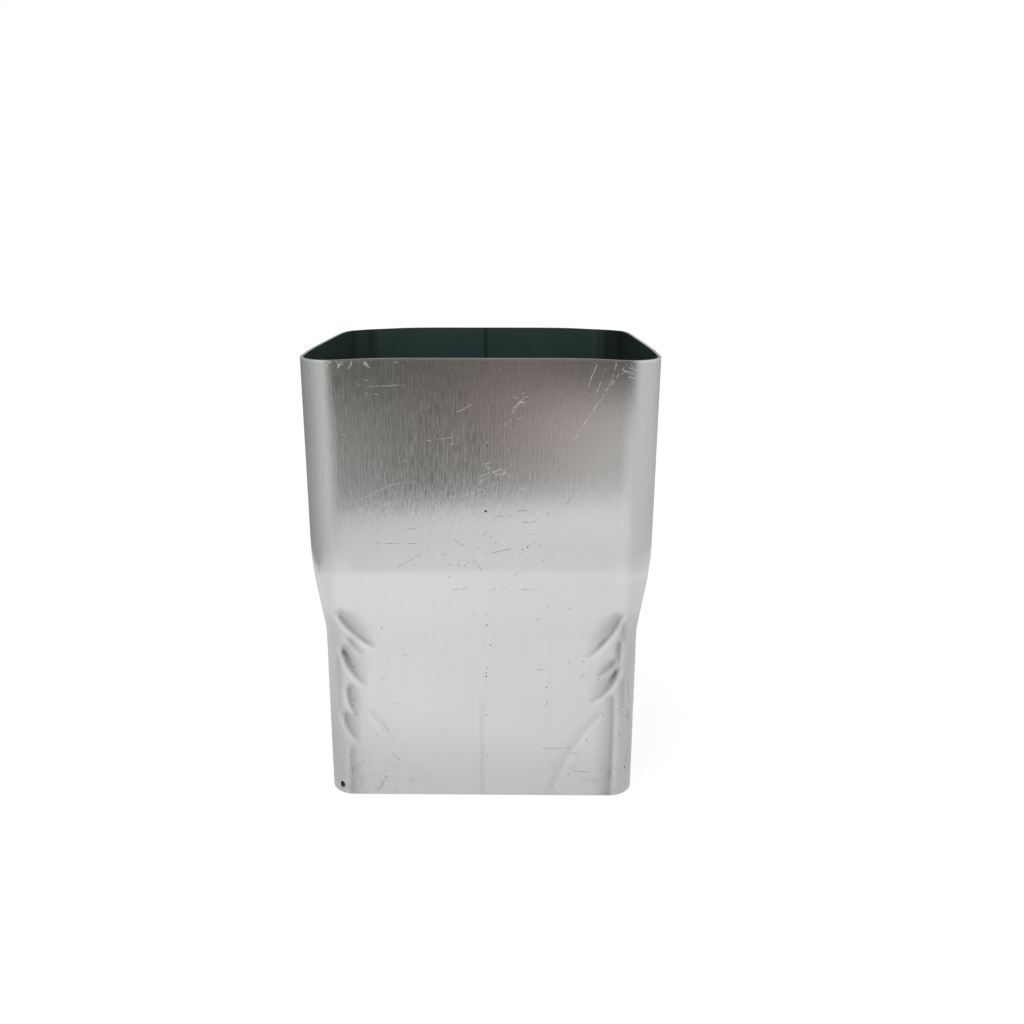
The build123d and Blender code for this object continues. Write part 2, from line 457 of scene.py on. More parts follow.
class SheetFinish(bpy.types.PropertyGroup):
    """Colours of the metal and its coat."""

    metal: FloatVectorProperty(
        name="Bare Metal",
        description="Colour of the bare outside of the sheet",
        default=(0.715, 0.725, 0.720),
        subtype="COLOR",
        min=0.0,
        max=1.0,
    )
    coat: FloatVectorProperty(
        name="Inside Coat",
        description="Colour of the gloss coat inside",
        default=(0.035, 0.060, 0.053),
        subtype="COLOR",
        min=0.0,
        max=1.0,
    )
    roughness: FloatProperty(
        name="Mill Roughness",
        description="Roughness of the rolled metal",
        default=0.205,
        subtype="FACTOR",
        min=0.0,
        max=1.0,
    )
    grain: FloatProperty(
        name="Grain",
        description="How much the rolling grain changes the metal",
        default=1.0,
        subtype="FACTOR",
        min=0.0,
        max=1.0,
    )


class StudioSetting(bpy.types.PropertyGroup):
    """Floor, light and camera."""

    floor: FloatVectorProperty(
        name="Floor",
        description="Colour of the floor",
        default=(0.80, 0.80, 0.80),
        subtype="COLOR",
        min=0.0,
        max=1.0,
    )
    daylight: FloatProperty(
        name="Room Light",
        description="Strength of the even light round the object",
        default=0.80,
        min=0.0,
    )
    softbox: FloatProperty(
        name="Soft Lamp",
        description="Power of the soft lamp overhead",
        default=3.0,
        min=0.0,
        unit="POWER",
    )
    lens: FloatProperty(
        name="Lens",
        description="Focal length of the camera",
        default=FOCAL_PIXELS * SENSOR_WIDTH / PICTURE_SIDE,
        unit="CAMERA",
    )


class Wire:
    """An output socket that takes part in sums as a number does."""

    def __init__(self, tree, socket=None):
        self.tree = tree
        self.socket = socket

    def add(self, kind, settings=None, inputs=None, output=0):
        """Adds a node: its settings first, then the values or links of its sockets."""
        node = self.tree.nodes.new(kind)
        for name, value in (settings or {}).items():
            if name == "stops":
                marks = node.color_ramp.elements
                while len(marks) < len(value):
                    marks.new(0.5)
                for mark, (position, shade) in zip(marks, value):
                    mark.position = position
                    mark.color = shade
            else:
                setattr(node, name, value)
        for key, value in (inputs or {}).items():
            if isinstance(value, Wire):
                self.tree.links.new(value.socket, node.inputs[key])
            else:
                node.inputs[key].default_value = value
        return Wire(self.tree, node.outputs[output])

    def math(self, operation, *values, clamp=False):
        inputs = dict(enumerate((self, *values)))
        return self.add("ShaderNodeMath", {"operation": operation, "use_clamp": clamp}, inputs)

    def vector(self, x, y, z=0.0):
        return self.add("ShaderNodeCombineXYZ", None, {0: x, 1: y, 2: z})

    def part(self, axis):
        return self.add("ShaderNodeSeparateXYZ", None, {0: self}, axis)

    def mix(self, first, second):
        """Mixes two colours by this value."""
        return self.add("ShaderNodeMix", {"data_type": "RGBA"}, {0: self, 6: first, 7: second}, 2)

    def span(self, low, high, first=0.0, last=1.0):
        """Maps low to high onto first to last, with soft ends."""
        inputs = {0: self, 1: low, 2: high, 3: first, 4: last}
        return self.add("ShaderNodeMapRange", {"interpolation_type": "SMOOTHSTEP"}, inputs)

    def noise(self, scale, detail):
        """Noise at this place."""
        inputs = {"Vector": self, "Scale": scale, "Detail": detail}
        return self.add("ShaderNodeTexNoise", None, inputs)

    def unit(self):
        """Held between nought and one."""
        return self.math("ADD", 0.0, clamp=True)

    def __add__(self, other):
        return self.math("ADD", other)

    def __sub__(self, other):
        return self.math("SUBTRACT", other)

    def __mul__(self, other):
        return self.math("MULTIPLY", other)

    def __truediv__(self, other):
        return self.math("DIVIDE", other)

    def __pow__(self, other):
        return self.math("POWER", other)

    def __rsub__(self, other):
        return self.math("MULTIPLY_ADD", -1.0, other)

    def __rtruediv__(self, other):
        return self.math("POWER", -1.0) * other

    __radd__ = __add__
    __rmul__ = __mul__


def quarter_length(sizes):
    """Width of the flat blank for one wall and one corner."""
    return 2.0 * sizes.core + sizes.corner * math.pi / 2.0


def plain_mesh(holder):
    """Mesh of an object with its modifiers worked out."""
    view = bpy.context.evaluated_depsgraph_get()
    return bpy.data.meshes.new_from_object(holder.evaluated_get(view), depsgraph=view)


def linked(name, data):
    """New object in the scene."""
    made = bpy.data.objects.new(name, data)
    bpy.context.scene.collection.objects.link(made)
    return made


def new_tree(name, geometry=(), lengths=(), counts=()):
    """Node tree with named inputs, their identifiers and their wires."""
    tree = bpy.data.node_groups.new(name, "GeometryNodeTree")
    face = tree.interface
    face.new_socket("Geometry", in_out="OUTPUT", socket_type="NodeSocketGeometry")
    keys = {}
    for kind, labels in (("Geometry", geometry), ("Float", lengths), ("Int", counts)):
        for label in labels:
            socket = face.new_socket(label, in_out="INPUT", socket_type="NodeSocket" + kind)
            keys[label] = socket.identifier
    entry = tree.nodes.new("NodeGroupInput")
    given = {label: Wire(tree, entry.outputs[label]) for label in keys}
    return tree, keys, given


def close_tree(tree, geometry, material):
    """Ends a tree with real geometry in its material."""
    start = Wire(tree)
    real = start.add("GeometryNodeRealizeInstances", None, {"Geometry": geometry})
    dressed = start.add("GeometryNodeSetMaterial", None, {"Geometry": real, "Material": material})
    leave = tree.nodes.new("NodeGroupOutput")
    tree.links.new(dressed.socket, leave.inputs[0])


def run_tree(holder, name, tree, keys, values):
    """Plain mesh that a tree makes on its holder, which goes."""
    maker = holder.modifiers.new(name, "NODES")
    maker.node_group = tree
    for label, value in values.items():
        maker[keys[label]] = value
    mesh = plain_mesh(holder)
    bpy.data.objects.remove(holder)
    if not mesh.polygons:
        raise RuntimeError(name + " came out empty")
    return mesh


def folded_sheet_tree(metal):
    """Node tree that wraps a flat blank round the square and steps it out at the shoulder."""
    lengths = ("Core", "Corner", "Step", "Mouth", "Neck", "Shoulder", "Height", "Dip", "Fall")
    counts = ("Wall Steps", "Corner Steps", "Fine Rows", "Plain Rows")
    tree, keys, given = new_tree("folded_sheet", lengths=lengths, counts=counts)
    core, corner, step = given["Core"], given["Corner"], given["Step"]
    neck, shoulder, height = given["Neck"], given["Shoulder"], given["Height"]

    crowding = 3.2
    neck_bend = 2.0 * MM
    shoulder_bend = 0.8 * MM
    dip_reach = 10.0 * MM

    def wave(share):
        return (share * (2.0 * math.pi)).math("SINE") / (2.0 * math.pi)

    columns = given["Wall Steps"] + given["Corner Steps"]
    rows = given["Fine Rows"] + given["Plain Rows"]
    start = Wire(tree)
    blank = start.add(
        "GeometryNodeMeshGrid",
        None,
        {"Size X": 1.0, "Size Y": 1.0, "Vertices X": columns * 4 + 1, "Vertices Y": rows + 1},
    )
    place = start.add("GeometryNodeInputPosition")
    turns = (place.part(0) + 0.5) * 4.0
    side = turns.math("FLOOR")
    share = (turns - side) * columns / given["Wall Steps"]
    across = share.unit() * 2.0 - 1.0
    crowded = (across * crowding).math("TANH") * (0.6 / math.tanh(crowding))
    along = core * (across * 0.4 + crowded)
    round_off = ((share - 1.0) * given["Wall Steps"] / given["Corner Steps"]).unit()
    bend = (round_off - wave(round_off) * 0.35) * (math.pi / 2.0)

    rise = (place.part(1) + 0.5) * rows / given["Fine Rows"]
    fine = shoulder + BEND_EASING * MM
    spare = ((rise - 1.0) * given["Fine Rows"] / given["Plain Rows"]).unit()
    low = rise.unit()
    up = (low + wave(low) * 0.3) * fine + spare * (height - fine)

    slope = step / (shoulder - neck)
    lean = (given["Mouth"] - core - corner - step) / (height - shoulder)
    flare = ((up - neck) * slope).math("SMOOTH_MAX", 0.0, slope * neck_bend)
    turn_up = (slope - lean) * (up - shoulder)
    out = flare - turn_up.math("SMOOTH_MAX", 0.0, slope * shoulder_bend)
    radius = corner + out

    swing = side * (math.pi / 2.0) + math.pi
    x = along + radius * bend.math("SINE")
    y = (core + radius * bend.math("COSINE")) * -1.0
    cosine = swing.math("COSINE")
    sine = swing.math("SINE")
    gap = core - along.math("ABSOLUTE") + corner * (bend - math.pi / 4.0).math("ABSOLUTE")
    hump = (gap * gap * (-1.0 / dip_reach**2)).math("EXPONENT")
    drop = ((up - shoulder) / (height - shoulder)).unit() ** 2.0
    ahead = (x * sine + y * cosine) / given["Mouth"] * -0.5 + 0.5
    z = up - drop * (given["Dip"] * hump + given["Fall"] * ahead)
    spot = start.vector(x * cosine - y * sine, x * sine + y * cosine, z)

    around = side * (core * 2.0 + corner * (math.pi / 2.0)) + along + corner * bend
    marked = blank
    for name, value, kind, domain in (
        ("around", around, "FLOAT", "POINT"),
        ("up", up, "FLOAT", "POINT"),
        ("sheet", start.vector(around, up), "FLOAT2", "CORNER"),
    ):
        marked = start.add(
            "GeometryNodeStoreNamedAttribute",
            {"data_type": kind, "domain": domain},
            {"Geometry": marked, "Name": name, "Value": value},
        )
    folded = start.add("GeometryNodeSetPosition", None, {"Geometry": marked, "Position": spot})
    closed = start.add("GeometryNodeMergeByDistance", None, {"Geometry": folded, "Distance": 1e-6})
    close_tree(tree, closed, metal)
    return tree, keys


def soft(values):
    """Rises from nought to one with soft ends."""
    held = np.clip(values, 0.0, 1.0)
    return held * held * (3.0 - 2.0 * held)


def bell(values):
    """One at nought, dying away to both sides."""
    return np.exp(-(values**2))


def fold_relief(across, up, fold, side, limit, sizes):
    """Push of one fold in millimetres, and its masks for painted shade in the valley and a painted
    highlight on the ridge, over points of the blank.
    """
    upper, lower, ridge_bow, fade_bow, depth = fold
    core, corner, neck = sizes.core / MM, sizes.corner / MM, sizes.neck / MM

    def on_blank(tip):
        wide = core + corner - tip[0]
        if wide > core:
            wide = core + corner * math.asin((wide - core) / corner)
        return np.array((side * wide, neck - tip[1]))

    first, last = on_blank(upper), on_blank(lower)
    half = np.linalg.norm(last - first) / 2.0
    along = (last - first) / (2.0 * half)
    outer = np.array((-along[1], along[0]))
    if outer[0] * side < 0.0:
        outer = -outer
    middle = (first + last) / 2.0
    run = ((across - middle[0]) * along[0] + (up - middle[1]) * along[1]) / half
    reach = (across - middle[0]) * outer[0] + (up - middle[1]) * outer[1]
    bow = 1.0 - run * run
    start = soft((run + 1.0) * half / TIP_RUN)
    start = start * soft((limit - np.abs(across)) / CORNER_FADE)
    left = np.ones_like(run) if lower[1] > neck else np.clip((1.0 - run) / 2.0, 0.0, 1.0)
    envelope = start * left**0.85
    width = max(ridge_bow + fade_bow, 1.0) * np.maximum(bow, 0.2 + 0.4 * left)
    past = ridge_bow * bow - reach
    share = past / width
    fade = np.where(share > STEEP_SHARE, np.exp(-((share - STEEP_SHARE) ** 2) / 0.40), 1.0)
    lip = LIP_SHARE * bell((past + LIP_PLACE) / LIP_WIDTH)
    hollow = HOLLOW_SHARE * soft(share / STEEP_SHARE) * fade
    relief = envelope * depth * (lip - hollow)
    cover = start * left**0.35 * min(1.0, depth / 0.5)
    # Mask of painted shade in the fold's valley, dark just past the ridge and fading into the wall.
    thin = bell((past - 0.45) / 0.55)
    wide = bell(np.maximum(past - 0.5, 0.0) / (0.6 * width + 0.4))
    valley = cover * soft((past + 0.3) / 0.7) * (0.3 * thin + 0.7 * wide)
    # Mask of a painted highlight along the fold's ridge.
    ridge = cover * bell((past + 0.75) / 0.55)
    return relief, valley, ridge


def press_folds(mesh, sizes):
    """Presses the folds, marks where shade is painted in their valleys and highlights on their
    ridges, and eases the shoulder by the corners.
    """
    count = len(mesh.vertices)

    def read(values, key, shape):
        held = np.empty(math.prod(shape))
        values.foreach_get(key, held)
        return held.reshape(shape)

    place = read(mesh.vertices, "co", (count, 3))
    normal = read(mesh.vertex_normals, "vector", (count, 3))
    around = read(mesh.attributes["around"].data, "value", (count,))
    up = read(mesh.attributes["up"].data, "value", (count,))

    quarter = quarter_length(sizes)
    totals = {name: np.zeros(count) for name in ("relief", "valley", "ridge")}
    for wall in range(4):
        across = (around - wall * quarter + 2.0 * quarter) % (4.0 * quarter) - 2.0 * quarter
        near = (np.abs(across) < quarter * 0.75) & (up < sizes.shoulder)
        limit = FOLD_LIMITS[wall % 2]
        for side, folds in ((-1.0, LEFT_FOLDS), (1.0, RIGHT_FOLDS)):
            for fold in folds:
                made = fold_relief(across[near] / MM, up[near] / MM, fold, side, limit, sizes)
                totals["relief"][near] += made[0]
                for name, mark in (("valley", made[1]), ("ridge", made[2])):
                    totals[name][near] = np.maximum(totals[name][near], mark)
    beyond = np.abs((around / quarter + 0.5) % 1.0 - 0.5) * quarter / MM
    close = np.clip(BEND_EASING - np.abs(up - sizes.shoulder) / MM, 0.0, None)
    slope = sizes.step / (sizes.shoulder - sizes.neck)
    eased = soft((beyond - EASING_START) / EASING_RUN) * slope * close**2 / (4.0 * BEND_EASING)
    totals["relief"] -= eased
    calm = np.clip(up / (1.5 * MM), 0.25, 1.0)
    place += normal * (totals["relief"] * calm * MM)[:, None]
    mesh.vertices.foreach_set("co", place.ravel())
    for name in ("valley", "ridge"):
        mark = mesh.attributes.new(name, "FLOAT", "POINT")
        mark.data.foreach_set("value", totals[name].astype(np.float32))
    mesh.update()


def pin_cutter(sizes, edge):
    """Small round bar that cuts the pin hole through the front left corner."""
    facing = Vector((-math.sin(PIN_TURN), -math.cos(PIN_TURN), 0.0))
    centre = Vector((-sizes.core, -sizes.core, PIN_HEIGHT * MM)) + facing * sizes.corner
    mesh = bpy.data.meshes.new("pin_cutter")
    work = bmesh.new()
    turn = facing.to_track_quat("Z", "Y").to_matrix().to_4x4()
    place = Matrix.Translation(centre) @ Matrix.Diagonal((1.0, 1.0, PIN_STRETCH, 1.0)) @ turn
    bmesh.ops.create_cone(
        work,
        cap_ends=True,
        segments=28,
        radius1=sizes.hole / 2.0,
        radius2=sizes.hole / 2.0,
        depth=4.0 * MM,
        matrix=place,
    )
    work.to_mesh(mesh)
    work.free()
    mesh.materials.append(edge)
    return linked("pin_cutter", mesh)


def crease_by_material(mesh):
    """Smooth faces, with a sharp edge wherever the finish changes."""
    work = bmesh.new()
    work.from_mesh(mesh)
    for flat in work.faces:
        flat.smooth = True
    for edge in work.edges:
        kinds = {flat.material_index for flat in edge.link_faces}
        edge.smooth = len(kinds) < 2
    work.to_mesh(mesh)
    work.free()


def new_material(name):
    """Empty material with its shader and a first wire to build on."""
    material = bpy.data.materials.new(name)
    material.use_nodes = True
    shader = material.node_tree.nodes["Principled BSDF"]
    return material, shader, Wire(material.node_tree)


def join(wire, shader, socket):
    """Links a wire to a socket of a shader."""
    wire.tree.links.new(wire.socket, shader.inputs[socket])


def roughen(shader, height, strength, distance):
    """Gives a finish fine bumps."""
    inputs = {"Strength": strength, "Distance": distance, "Height": height}
    join(height.add("ShaderNodeBump", None, inputs), shader, "Normal")


def colour(values, scale=1.0):
    """Colour with its alpha, made darker or lighter by a scale."""
    return (values[0] * scale, values[1] * scale, values[2] * scale, 1.0)


def wall_across(flat, sizes):
    """Distance from the middle of the nearest wall, in millimetres."""
    quarter = quarter_length(sizes)
    return ((flat.part(0) / quarter + 0.5).math("FRACT") - 0.5) * (quarter / MM)


def bare_sheet(finish, sizes):
    """Rolled bare metal with its upright grain, streaks, scuffs, pale flecks and seam, painted
    shade in the folds and by the lower corners, and painted highlights on the fold ridges, the
    shoulder and the rim.
    """
    material, shader, here = new_material("bare_sheet")
    flat = here.add("ShaderNodeUVMap", {"uv_map": "sheet"})
    x = flat.part(0) / MM
    z = flat.part(1) / MM
    across = wall_across(flat, sizes)
    # Where shade is painted in the fold valleys.
    valley = here.add("ShaderNodeAttribute", {"attribute_name": "valley"}, None, "Fac")
    # Where a highlight is painted on the fold ridges.
    ridge = here.add("ShaderNodeAttribute", {"attribute_name": "ridge"}, None, "Fac")

    def sheet_noise(wide, tall, detail=2.0, roughness=0.55):
        inputs = {
            "Vector": here.vector(x * wide, z * tall),
            "Scale": 1.0,
            "Detail": detail,
            "Roughness": roughness,
        }
        return here.add("ShaderNodeTexNoise", {"noise_dimensions": "2D"}, inputs)

    hair = sheet_noise(3.6, 0.32, 2.0, 0.6)
    fibre = sheet_noise(4.2, 0.05, 2.0, 0.5)
    streak = sheet_noise(0.7, 0.012)
    cloud = sheet_noise(0.05, 0.05, 3.0)
    blotch = sheet_noise(0.35, 0.35, 4.0, 0.6)
    wide = across.math("ABSOLUTE")
    # Painted shade on the corner columns, from a little above the neck down.
    painted_corner_shade = wide.span(26.5, 33.5) * z.span(50.5, 44.5)
    # Painted highlight on the shoulder between the neck and its upper bend, stronger by the
    # corners.
    flare = (wide.span(30.0, 34.0) * 0.5 + 0.28) * z.span(41.0, 53.0) * z.span(60.0, 58.5)
    # Painted highlight along the top of the rim.
    cut = z.span(108.9, 109.2)
    fleck = sheet_noise(2.2, 2.2).span(0.72, 0.78)
    scuff = z.span(16.0, 2.0) * blotch.span(0.52, 0.68) * wide.span(8.0, 20.0)
    seam = (across - 0.2).math("ABSOLUTE").span(0.9, 0.4) * z.span(30.0, 22.0)
    # Darkening: painted shade in the fold valleys and on the lower corner columns, with real scuffs
    # low down and the seam.
    scuffs_and_painted_shade = (valley * 0.50 + scuff * 0.10 + seam * 0.07 + painted_corner_shade * 0.12).unit()

    rolled = across.span(16.0, -12.0, 0.55, 1.0) * finish.grain
    grain = (hair + fibre * 0.5 - 0.75) * rolled
    seen = 0.20 + z.span(74.0, 86.0) * 0.40
    tone = (0.5 + grain * seen + (streak - 0.5) * 0.10 + (cloud - 0.5) * 0.20).unit()
    plain = tone.mix(colour(finish.metal, 0.82), colour(finish.metal, 1.15))
    # Lightening: painted highlights on the fold ridges, the shoulder and the rim, with real pale
    # flecks.
    bright = (ridge * 0.9 + flare * 0.55 + cut + fleck * 0.5).unit()
    painted_highlights = bright.mix(plain, colour(finish.metal, 1.22))
    join(scuffs_and_painted_shade.mix(painted_highlights, (0.02, 0.02, 0.018, 1.0)), shader, "Base Color")
    rough = finish.roughness + grain * 0.16 + (cloud - 0.5) * 0.05 + valley * 0.08
    join(rough.unit(), shader, "Roughness")
    roughen(shader, grain + streak * 0.2, 1.0, 0.022 * MM)
    shader.inputs["Metallic"].default_value = 1.0
    shader.inputs["Anisotropic"].default_value = 0.8
    return material


def green_coat(finish, sizes):
    """Dark gloss coat on the inside of the sheet, creased down the middle of each wall, with
    painted highlights and painted shade on the corner bends and painted shade on the side walls.
    """
    material, shader, here = new_material("green_coat")
    flat = here.add("ShaderNodeUVMap", {"uv_map": "sheet"})
    across = wall_across(flat, sizes)
    spot = here.add("ShaderNodeTexCoord", None, None, "Object")
    speckle = spot.noise(900.0, 2.0)
    cloud = spot.noise(40.0, 3.0)
    crease = (across - 0.2).math("ABSOLUTE").span(0.7, 0.2)
    wide = across.math("ABSOLUTE")
    # Painted highlights in upright bands on the corner bends.
    painted_highlights = wide.span(34.0, 36.4) + wide.span(31.0, 32.3) * wide.span(33.6, 32.3)
    # Painted shade in a band on each corner bend.
    bend = wide.span(32.0, 33.8) * wide.span(35.8, 34.0)
    # Painted shade: the right inside wall darker, and the left a little.
    side = spot.part(0).span(0.0345, 0.0365) * 0.70 + spot.part(0).span(-0.031, -0.037) * 0.25
    tone = ((speckle - 0.5) * 0.5 + cloud).unit()
    plain = tone.mix(colour(finish.coat, 0.85), colour(finish.coat, 1.30))
    plain = (painted_highlights * 0.12).unit().mix(plain, colour(finish.coat, 2.3))
    # Darkening: the real crease down each wall's middle, with the painted shade.
    shaded = (crease * 0.6 + bend * 0.25 + side).unit()
    join(shaded.mix(plain, colour(finish.coat, 0.2)), shader, "Base Color")
    join(0.16 + (cloud - 0.5) * 0.10, shader, "Roughness")
    roughen(shader, speckle, 0.2, 0.02 * MM)
    return material


def cut_edge(finish):
    """Sheared edge of the sheet, bright with fine burrs."""
    material, shader, here = new_material("cut_edge")
    spot = here.add("ShaderNodeTexCoord", None, None, "Object")
    burr = spot.noise(1400.0, 3.0)
    join(burr.mix(colour(finish.metal, 0.75), colour(finish.metal, 1.25)), shader, "Base Color")
    join(0.30 + burr * 0.2, shader, "Roughness")
    roughen(shader, burr, 0.4, 0.03 * MM)
    shader.inputs["Metallic"].default_value = 1.0
    return material


class COUPLING_OT_fold_sleeve(bpy.types.Operator):
    """Folds the sleeve from its blank, presses the gathers and gives it its finishes"""

    bl_idname = "coupling.fold_sleeve"
    bl_label = "Fold Sleeve"

    def execute(self, context):
        sizes = context.scene.coupling_sizes
        finish = context.scene.coupling_finish
        metal = bare_sheet(finish, sizes)
        coat = green_coat(finish, sizes)
        edge = cut_edge(finish)
        tree, keys = folded_sheet_tree(metal)
        values = {label: getattr(sizes, label.lower().replace(" ", "_")) for label in keys}
        holder = linked("sleeve_blank", bpy.data.meshes.new("sleeve_blank"))
        skin = run_tree(holder, "folded_sheet", tree, keys, values)
        press_folds(skin, sizes)
        skin.materials.append(coat)
        skin.materials.append(edge)

        holder = linked("sleeve_skin", skin)
        wall = holder.modifiers.new("sheet", "SOLIDIFY")
        wall.thickness = sizes.sheet
        wall.offset = -1.0
        wall.use_even_offset = True
        wall.material_offset = 1
        wall.material_offset_rim = 2
        cutter = pin_cutter(sizes, edge)
        punch = holder.modifiers.new("pin_hole", "BOOLEAN")
        punch.operation = "DIFFERENCE"
        punch.solver = "EXACT"
        punch.material_mode = "TRANSFER"
        punch.object = cutter
        mesh = plain_mesh(holder)
        bpy.data.objects.remove(holder)
        bpy.data.objects.remove(cutter)
        crease_by_material(mesh)
        for point in mesh.vertices:
            point.co.z = min(max(point.co.z, CAD_BOX[0].z), CAD_BOX[1].z)
        mesh.name = "sleeve"
        sleeve = linked("sleeve", mesh)
        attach(sleeve, "root")
        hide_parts("coupling_sleeve")
        return {"FINISHED"}


def mark_material(name, shade, spread):
    """Dull grey for fluff, lint, scratches and specks, a little uneven."""
    material, shader, here = new_material(name)
    spot = here.add("ShaderNodeTexCoord", None, None, "Object")
    mottle = spot.noise(700.0, 2.0)
    light, dark = shade + spread, shade - spread
    join(mottle.mix((dark, dark, dark, 1.0), (light, light, light, 1.0)), shader, "Base Color")
    join(0.55 + mottle * 0.2, shader, "Roughness")
    return material


def before_wall(wall, across, height):
    """Point well out from a wall: the front one is 0, and they count anticlockwise from above."""
    turn = wall * math.pi / 2.0
    x = across * math.cos(turn) + DRAWN_OUT * math.sin(turn)
    y = across * math.sin(turn) - DRAWN_OUT * math.cos(turn)
    return (x * MM, y * MM, height * MM)


def worn_walls(marks):
    """The marks of the front wall, and every third of them mirrored on each of the other walls."""
    placed = [(0, mark) for mark in marks]
    for wall in (1, 2, 3):
        for mark in marks[wall::3]:
            if max(abs(point[0]) for point in mark) < REPEATED_WITHIN:
                placed.append((wall, tuple((-across, *rest) for across, *rest in mark)))
    return placed


def strands(paths):
    """Three loose strands along each path on the front wall."""
    spread = []
    for number, path in enumerate(paths):
        for strand in range(3):
            loose = []
            for step, (across, height) in enumerate(path):
                turn = number + 2.1 * strand + 1.9 * step
                aside, rise = STRAND_SPREAD * math.cos(turn), STRAND_SPREAD * math.sin(turn)
                loose.append((across + aside, height + rise))
            spread.append((0, tuple(loose)))
    return spread


def onto_wall(start, target, lift):
    """Field that moves a point in front of a wall back onto it."""
    wall = start.add("GeometryNodeObjectInfo", None, {"Object": target}, "Geometry")
    place = start.add("GeometryNodeInputPosition")
    x, y = (
        axis.math("SIGN") * axis.math("ABSOLUTE").math("GREATER_THAN", WALL_FACING * MM) * -1.0
        for axis in (place.part(0), place.part(1))
    )
    hit = start.add(
        "GeometryNodeRaycast",
        None,
        {"Target Geometry": wall, "Source Position": place, "Ray Direction": start.vector(x, y)},
        "Hit Position",
    )
    return start.add(
        "ShaderNodeVectorMath", {"operation": "ADD"}, {0: hit, 1: start.vector(x * lift, y * lift)}
    )


def finish_marks(holder, tree, keys, values, name):
    """Works out a tree of marks on its holder and leaves a piece that rides with the sleeve."""
    mesh = run_tree(holder, name, tree, keys, values)
    mesh.name = name
    for flat in mesh.polygons:
        flat.use_smooth = True
    piece = linked(name, mesh)
    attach(piece, "root")


class COUPLING_OT_draw_hairlines(bpy.types.Operator):
    """Lays the fluff, lint and hairline scratches on the walls"""

    bl_idname = "coupling.draw_hairlines"
    bl_label = "Draw Hairlines"

    def execute(self, context):
        pale = [path for path in HAIRLINES if path[0][1] > PALE_ABOVE]
        dark = [path for path in HAIRLINES if path[0][1] <= PALE_ABOVE]
        self.lay("fluff", 0.63, 0.16, 0.048 * MM, 0.9 * MM, strands(FLUFF))
        # Pale lint and scratches up high, partly painted sheen; dark scratches lower down, partly
        # painted shade.
        self.lay("lint", 0.56, 0.20, 0.10 * MM, 0.6 * MM, worn_walls(pale))
        self.lay("scratches", 0.18, 0.08, 0.11 * MM, 0.5 * MM, worn_walls(dark))
        return {"FINISHED"}

    def lay(self, name, shade, spread, wide, wander, paths):
        """Lays threads along the paths, uneven in width and a little astray."""
        tree, keys, given = new_tree(name, ["Geometry"], ["Width", "Step", "Wander", "Top"])
        start = Wire(tree)
        width = given["Width"]
        even = start.add(
            "GeometryNodeResampleCurve",
            {"mode": "LENGTH"},
            {"Curve": given["Geometry"], "Length": given["Step"]},
        )
        sway = start.add("ShaderNodeTexNoise", None, {"Scale": 500.0, "Detail": 2.0}, "Color")
        aside = (sway.part(0) - 0.5) * given["Wander"]
        rise = (sway.part(1) - 0.5) * given["Wander"]
        place = start.add("GeometryNodeInputPosition")
        held = start.vector(
            place.part(0) + aside,
            place.part(1) + aside,
            (place.part(2) + rise).math("MINIMUM", given["Top"]),
        )
        loose = start.add("GeometryNodeSetPosition", None, {"Geometry": even, "Position": held})
        spot = onto_wall(start, bpy.data.objects["sleeve"], width * 0.25)
        laid = start.add("GeometryNodeSetPosition", None, {"Geometry": loose, "Position": spot})
        ring = start.add(
            "GeometryNodeCurvePrimitiveCircle", None, {"Resolution": 5, "Radius": width / 2.0}
        )
        wear = start.add("ShaderNodeTexNoise", None, {"Scale": 900.0, "Detail": 2.0})
        thread = start.add(
            "GeometryNodeCurveToMesh",
            None,
            {
                "Curve": laid,
                "Profile Curve": ring,
                "Scale": wear.span(0.33, 0.58, 0.28, 1.2),
                "Fill Caps": True,
            },
        )
        close_tree(tree, thread, mark_material(name, shade, spread))
        data = bpy.data.curves.new(name, "CURVE")
        data.dimensions = "3D"
        for wall, path in paths:
            spline = data.splines.new("NURBS")
            spline.points.add(len(path) - 1)
            for point, (across, height) in zip(spline.points, path):
                point.co = (*before_wall(wall, across, height), 1.0)
            spline.order_u = min(3, len(path))
            spline.use_endpoint_u = True
        top = bpy.context.scene.coupling_sizes.height - 1.0 * MM
        values = {"Width": wide, "Step": 0.22 * MM, "Wander": wander, "Top": top}
        finish_marks(linked(name, data), tree, keys, values, name)


